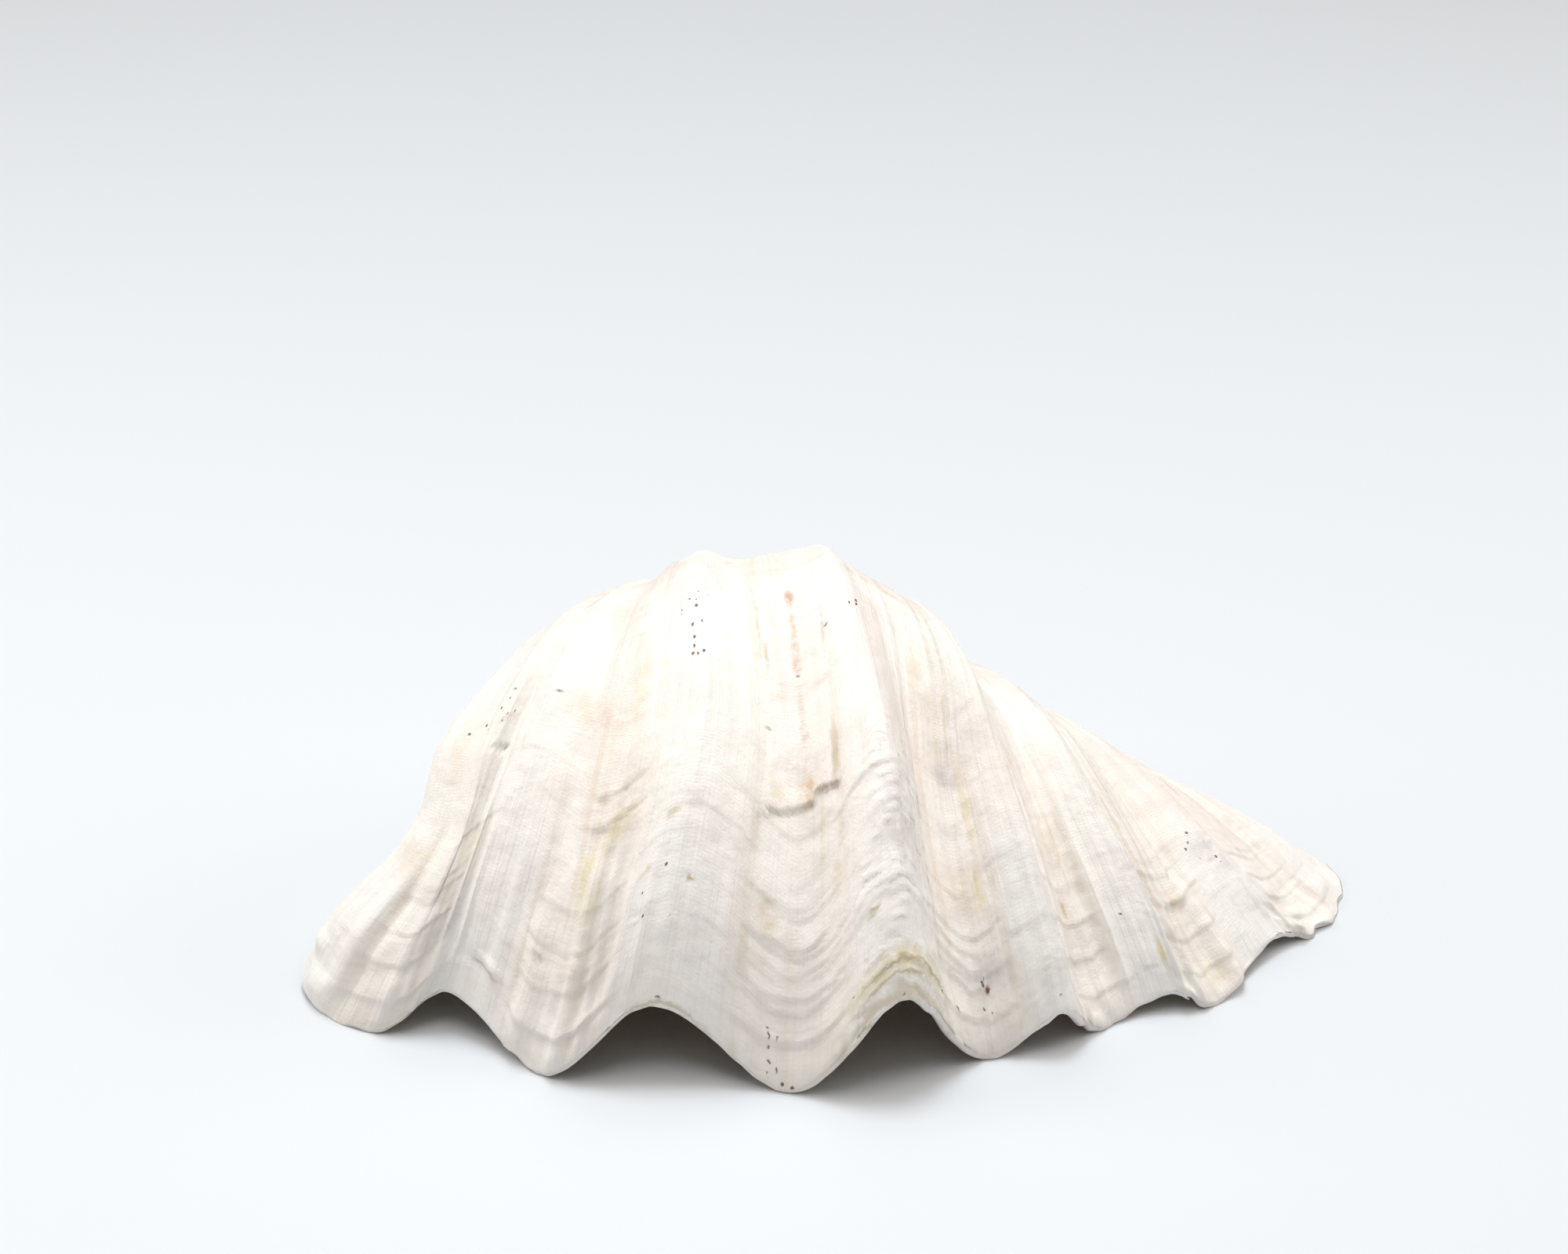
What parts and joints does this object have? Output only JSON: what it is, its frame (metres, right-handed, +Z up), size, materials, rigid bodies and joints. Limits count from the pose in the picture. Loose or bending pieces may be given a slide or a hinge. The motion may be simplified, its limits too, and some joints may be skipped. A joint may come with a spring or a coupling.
{
  "type": "giant clam shell",
  "caption": "One thick, deeply ribbed valve of a giant clam, with a scalloped edge, lying hollow side down on its edge.",
  "frame": {"origin": "on the ground under the middle of the shell's box", "axes": "+X from the short end to the long end, +Y from the scalloped edge to the hinge, +Z up through the crown"},
  "size_m": [0.2568, 0.1316, 0.0924],
  "materials": {
    "shell_lime": "chalky white outside, dull satin inside"
  },
  "bodies": {
    "root": {"valve": "shell_lime"}
  },
  "joints": []
}
